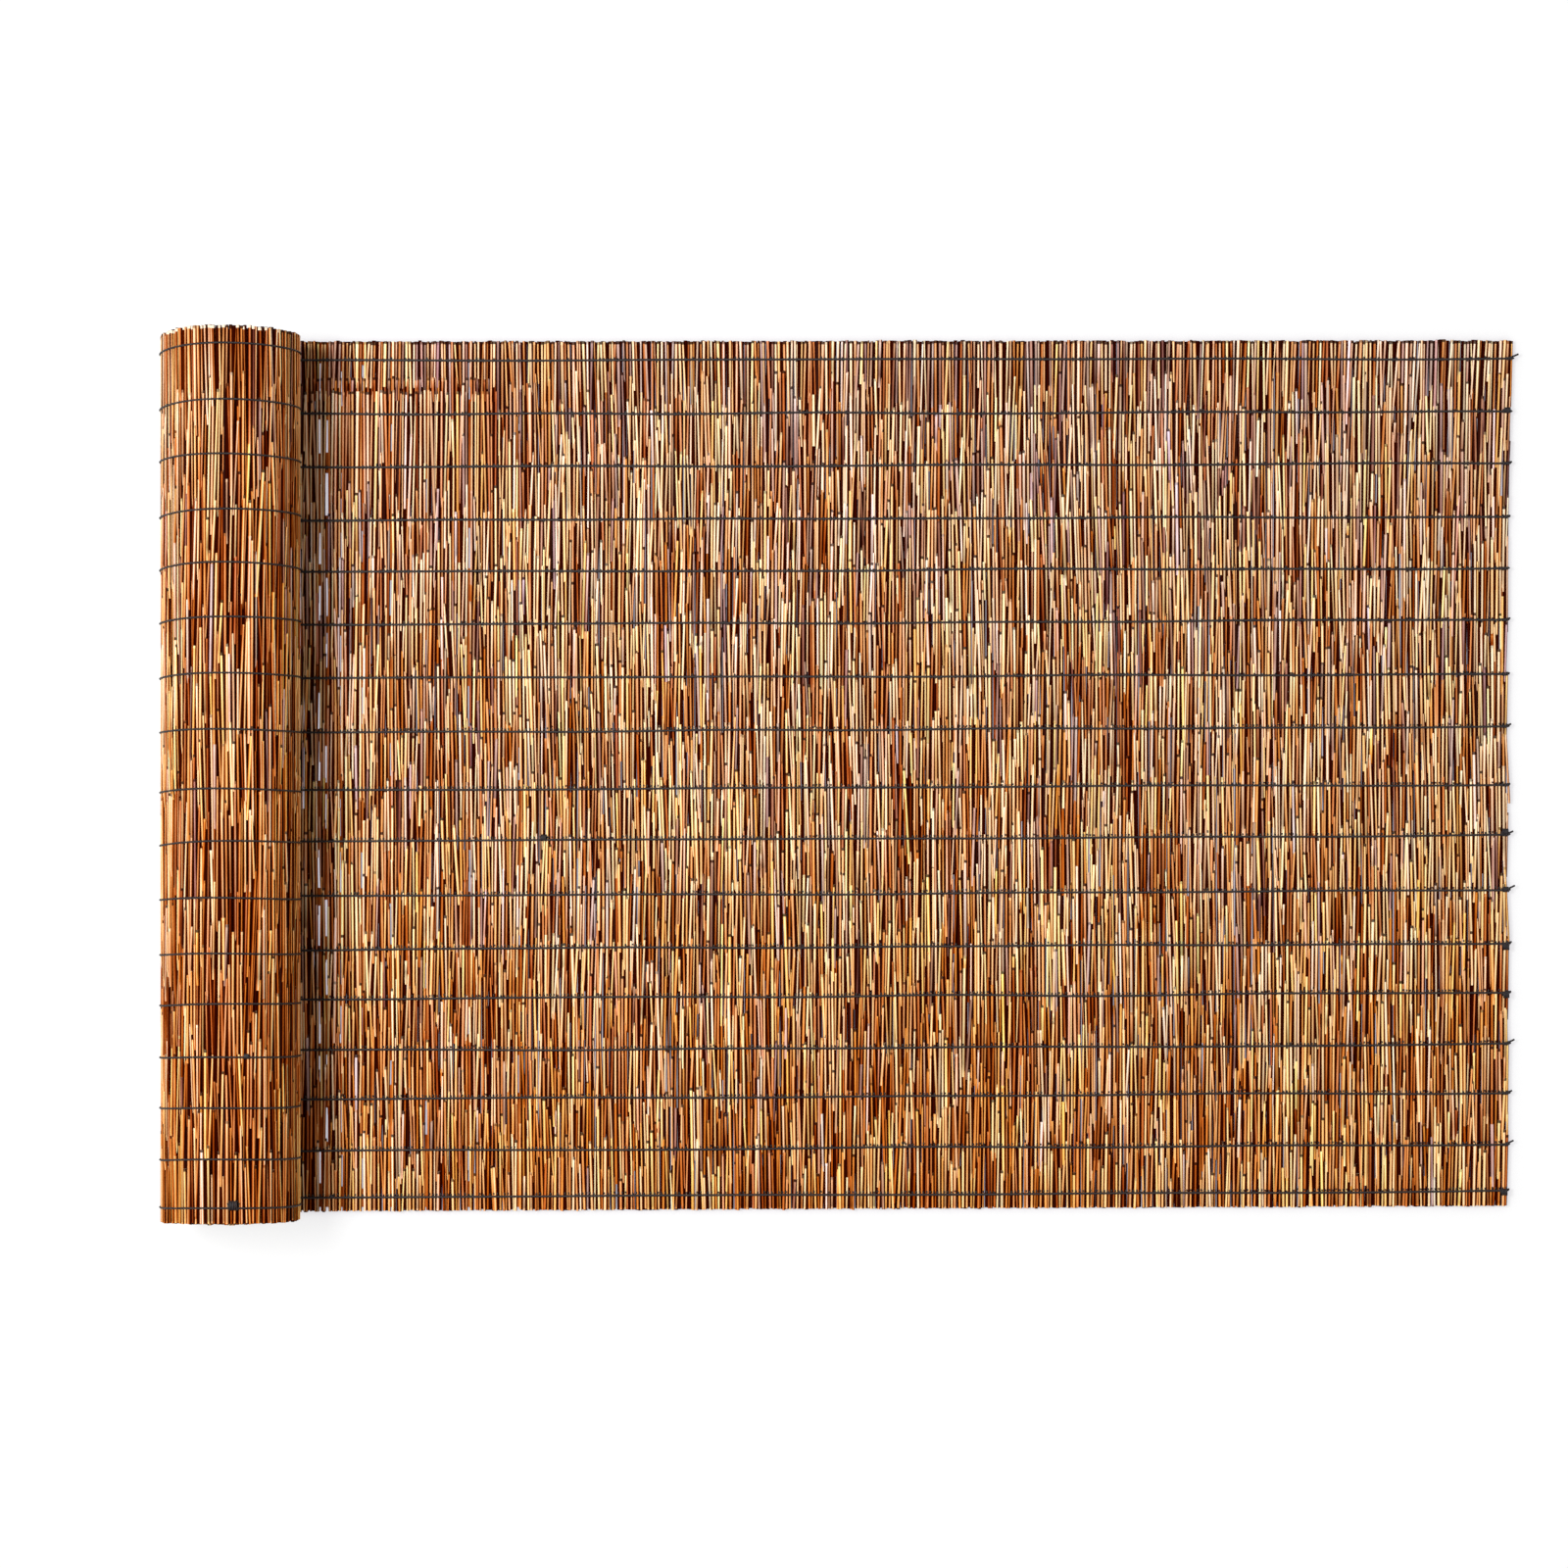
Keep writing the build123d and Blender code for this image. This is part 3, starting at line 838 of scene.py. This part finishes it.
def makeFloor(look):
    mesh = bpy.data.meshes.new("floor")
    reach = look["floorReach"]
    corners = [(-reach, -reach, 0), (reach, -reach, 0), (reach, reach, 0), (-reach, reach, 0)]
    mesh.from_pydata(corners, [], [(0, 1, 2, 3)])
    floor = bpy.data.objects.new("floor", mesh)
    scene.collection.objects.link(floor)
    material = bpy.data.materials.new("floorWhite")
    material.use_nodes = True
    tree = material.node_tree
    shader = tree.nodes["Principled BSDF"]
    shader.inputs["Base Color"].default_value = look["floorColour"]
    shader.inputs["Roughness"].default_value = look["floorRoughness"]
    glow = tree.nodes.new("ShaderNodeEmission")
    glow.inputs["Strength"].default_value = 1.0
    # painted contact shadow: ambient occlusion turns the floor's glow lilac grey close to the mat
    paintedContactShade = tree.nodes.new("ShaderNodeAmbientOcclusion")
    paintedContactShade.samples = look["contactSamples"]
    paintedContactShade.inputs["Distance"].default_value = look["contactReach"]
    paintedShade = mixNode(tree, paintedContactShade.outputs["AO"], linear(*look["paintedContactShade"]), white)
    tree.links.new(paintedShade, glow.inputs["Color"])
    path = tree.nodes.new("ShaderNodeLightPath")
    mix = tree.nodes.new("ShaderNodeMixShader")
    tree.links.new(mathNode(tree, "MULTIPLY", path.outputs["Is Camera Ray"], look["floorGlow"]), mix.inputs["Fac"])
    tree.links.new(shader.outputs["BSDF"], mix.inputs[1])
    tree.links.new(glow.outputs["Emission"], mix.inputs[2])
    tree.links.new(mix.outputs["Shader"], tree.nodes["Material Output"].inputs["Surface"])
    mesh.materials.append(material)


def addLamp(name, place, target, size, power):
    lamp = bpy.data.lights.new(name, "AREA")
    lamp.energy = power
    lamp.shape = "DISK"
    lamp.size = size
    lampObject = bpy.data.objects.new(name, lamp)
    lampObject.location = place
    scene.collection.objects.link(lampObject)
    aim = np.array(target) - np.array(place)
    flat = math.hypot(aim[0], aim[1])
    lampObject.rotation_euler = (math.atan2(flat, -aim[2]), 0, math.atan2(aim[1], aim[0]) - math.pi / 2)


# white where the camera sees it, weaker as light
def makeWorld(look):
    world = bpy.data.worlds.new("studioWorld")
    world.use_nodes = True
    tree = world.node_tree
    background = tree.nodes["Background"]
    background.inputs["Color"].default_value = white
    path = tree.nodes.new("ShaderNodeLightPath")
    strength = tree.nodes.new("ShaderNodeMapRange")
    strength.inputs["To Min"].default_value = look["world"]
    strength.inputs["To Max"].default_value = 1.0
    tree.links.new(path.outputs["Is Camera Ray"], strength.inputs["Value"])
    tree.links.new(strength.outputs["Result"], background.inputs["Strength"])
    scene.world = world


makeFloor(studio)
for lampName in ("keyLamp", "fillLamp"):
    addLamp(lampName, **studio[lampName])
makeWorld(studio)

# straight down, as the photograph looks
view = {"place": (-0.0825, -0.0127, 5.89), "lens": 96.0, "sensor": 36.0}
camera = bpy.data.objects.new("camera", bpy.data.cameras.new("camera"))
camera.data.lens = view["lens"]
camera.data.sensor_width = view["sensor"]
camera.location = view["place"]
scene.collection.objects.link(camera)
scene.camera = camera
print("studio and camera done")
